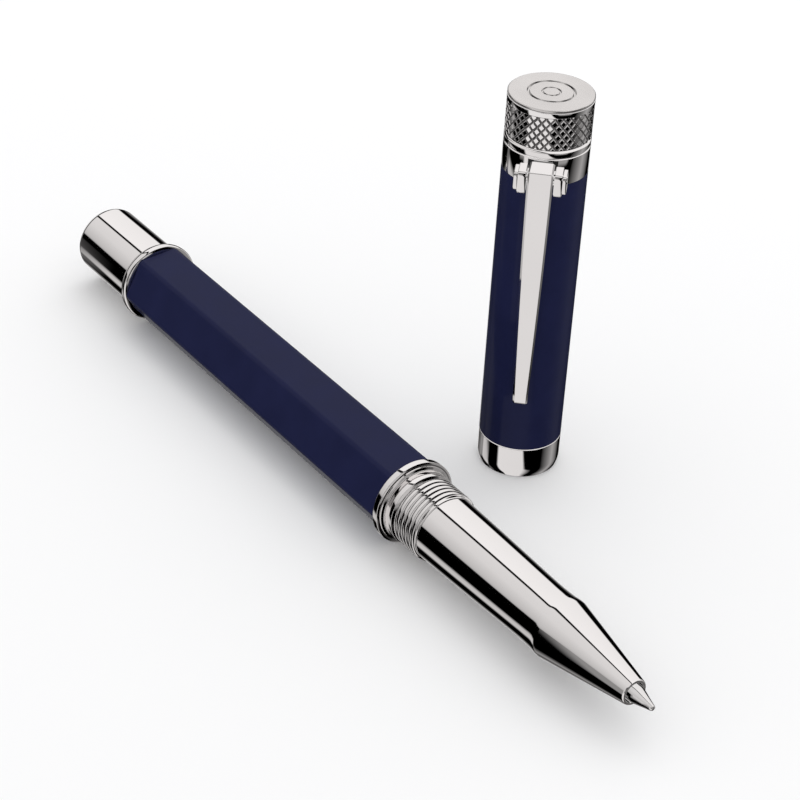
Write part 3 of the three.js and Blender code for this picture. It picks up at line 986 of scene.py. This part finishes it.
def clip_arm():
    """The sprung arm: six-cornered across, with its front edges drawn in."""
    verts = []
    for front_x, front_z, back_x, back_z, half in arm_stations():
        front = Vector((front_x, front_z))
        back = Vector((back_x, back_z))
        shoulder = front.lerp(back, 0.25)
        side = [(back, half - 0.05), (shoulder, half), (front, half - 0.24)]
        verts += [(spot.x, -y, spot.y) for spot, y in side]
        verts += [(spot.x, y, spot.y) for spot, y in reversed(side)]
    faces = [list(range(6)), list(range(len(verts) - 6, len(verts)))]
    for low in range(0, len(verts) - 6, 6):
        for k in range(6):
            n = (k + 1) % 6
            faces.append([low + k, low + n, low + 6 + n, low + 6 + k])
    piece("clip", verts, faces, CAP, "clip", ["clip_arm"], "chrome", crease=22)


def hinge_pin():
    across = Matrix.Translation((PIN_X, 0, PIN_Z)) @ Matrix.Rotation(math.radians(-90), 4, "X")
    profile = [(0, -PIN_HALF), (PIN_R, -PIN_HALF, 0.2), (PIN_R, PIN_HALF, 0.2), (0, PIN_HALF)]
    lathe("hinge_pin", profile, CAP @ across, "cap", ["clip_hinge_pin"], "steel", around=48, closed=False)


# ---- finishes of the rest ----
def finish_inner_pieces():
    """The pieces inside keep their CAD shapes and take their finishes."""
    for row in frame["record"]["subparts"]:
        node = frame["nodes"][row["node"]]
        if node.hide_render:
            continue
        node.data.materials.clear()
        node.data.materials.append(LOOKS[row["material_slot"]])


def set_reflections():
    """Only the outside of the barrel, with its rings and tail, shows in reflections."""
    for obj in bpy.context.scene.objects:
        if obj.type == "MESH" and obj.name not in MIRRORED:
            obj.visible_glossy = False


# ---- studio ----
def studio_floor():
    half = 3.0
    corners = [(-half, -half, 0), (half, -half, 0), (half, half, 0), (-half, half, 0)]
    mesh = bpy.data.meshes.new("floor")
    mesh.from_pydata(corners, [], [(0, 1, 2, 3)])
    material = bpy.data.materials.new("floor")
    material.use_nodes = True
    nodes = Nodes(material.node_tree)
    shader = nodes.add("ShaderNodeBsdfDiffuse", {"Color": (0.93, 0.93, 0.935, 1)})
    nodes.add("ShaderNodeOutputMaterial", {"Surface": shader.outputs[0]})
    mesh.materials.append(material)
    floor = linked("floor", mesh)
    floor.visible_glossy = False


def studio_glow(nodes, way):
    """How bright the studio that shows in reflections is, in each direction."""
    x, y, z = nodes.add("ShaderNodeSeparateXYZ", {0: way}).outputs
    end_on = nodes.math("ABSOLUTE", x)

    def lit(up, along, stops):
        turn = nodes.math("ADD", nodes.math("DIVIDE", nodes.math("ARCTAN2", up, along), TURN), 0.5)
        return nodes.ramp(turn, [((degrees + 180) / 360, level) for degrees, level in stops])

    boxes = lit(z, y, ROUND_THE_PEN)
    low_cards = lit(y, x, ROUND_THE_CAP)
    # The low cards show below the horizon, with an opening that the pen's sides see through.
    below = nodes.spread(z, 1, 0, -0.14, -0.08)
    beside_opening = nodes.spread(nodes.far_from(x, -0.66), 0, 1, 0.10, 0.14)
    cards = nodes.mix(nodes.math("MULTIPLY", below, beside_opening), boxes, low_cards, "FLOAT")
    # Black card stands beyond both ends of the pen, so steps and thread flanks turn dark.
    nose_card = nodes.spread(x, 1, 0, 0.76, 0.79)
    tail_card = nodes.spread(x, 0, 1, -0.86, -0.83)
    # Another hangs in front of the nib, from the horizon halfway up.
    aside_card = nodes.spread(x, 1, 0, 0.32, 0.38)
    above_card = nodes.spread(z, 0, 1, 0.60, 0.64)
    around_card = nodes.fold("MAXIMUM", aside_card, above_card, below)
    # A small soft box shows at each end, past the card's edge, and a grey card low before it.
    end_box = nodes.spread(end_on, 0, 0.6, 0.945, 0.965)
    far = nodes.spread(end_on, 0, 0.35, 0.88, 0.91)
    low_down = nodes.spread(nodes.far_from(z, -0.22), 1, 0, 0.12, 0.18)
    # An upright soft box stands at each side, square to the pen, in front of a dimmer wall.
    square = nodes.spread(nodes.far_from(x, 0.065), 0.75, 0, 0.16, 0.19)
    wall = nodes.spread(nodes.far_from(x, 0.2), 0.3, 0, 0.48, 0.52)
    level = nodes.spread(nodes.math("ABSOLUTE", z), 1, 0, 0.32, 0.38)
    return nodes.fold(
        "MAXIMUM",
        nodes.fold("MULTIPLY", cards, nose_card, tail_card, around_card),
        end_box,
        nodes.math("MULTIPLY", far, low_down),
        nodes.math("MULTIPLY", nodes.math("MAXIMUM", square, wall), level),
    )


def studio_world():
    """Even white light all round, and a studio of soft boxes and cards for reflections."""
    world = bpy.data.worlds.new("studio")
    bpy.context.scene.world = world
    world.use_nodes = True
    nodes = Nodes(world.node_tree)
    glow = studio_glow(nodes, nodes.add("ShaderNodeTexCoord").outputs["Generated"])
    reflected = nodes.add("ShaderNodeBackground", {"Color": (1.0, 0.985, 0.98, 1), "Strength": glow})
    lighting = nodes.add("ShaderNodeBackground", {"Color": (1, 1, 1, 1), "Strength": 0.95})
    glossy = nodes.add("ShaderNodeLightPath").outputs["Is Glossy Ray"]
    inputs = {0: glossy, 1: lighting.outputs[0], 2: reflected.outputs[0]}
    mix = nodes.add("ShaderNodeMixShader", inputs)
    nodes.add("ShaderNodeOutputWorld", {"Surface": mix.outputs[0]})


def soft_light(name, place, target, size, power):
    data = bpy.data.lights.new(name, "AREA")
    data.shape = "DISK"
    data.size = size
    data.energy = power
    lamp = linked(name, data)
    lamp.location = place
    lamp.rotation_euler = (Vector(target) - Vector(place)).to_track_quat("-Z", "Y").to_euler()
    lamp.visible_glossy = False


def camera():
    """A long lens, at the place the pair is seen from."""
    back = CAMERA_BACK.normalized()
    up = back.cross(CAMERA_RIGHT.normalized()).normalized()
    right = up.cross(back)
    data = bpy.data.cameras.new("camera")
    data.lens = CAMERA_LENS
    data.sensor_width = 36
    data.clip_start = 0.01
    data.clip_end = 20
    view = linked("camera", data)
    turn = Matrix((right, up, back)).transposed().to_4x4()
    view.matrix_world = Matrix.Translation(PEN_ORIGIN + CAMERA_OFFSET) @ turn
    bpy.context.scene.camera = view


# ---- build ----
barrel()
barrel_rings()
cap_thread()
grip()
stud()
writing_end()
cap_shell()
cap_inside()
band()
crown()
top_disc()
clip_bracket()
clip_arm()
hinge_pin()
finish_inner_pieces()
set_reflections()
studio_floor()
studio_world()
soft_light("key", (-0.25, 0.35, 0.7), (0, 0, 0.01), 0.9, 1.2)
camera()
bpy.context.scene.view_settings.view_transform = "Standard"
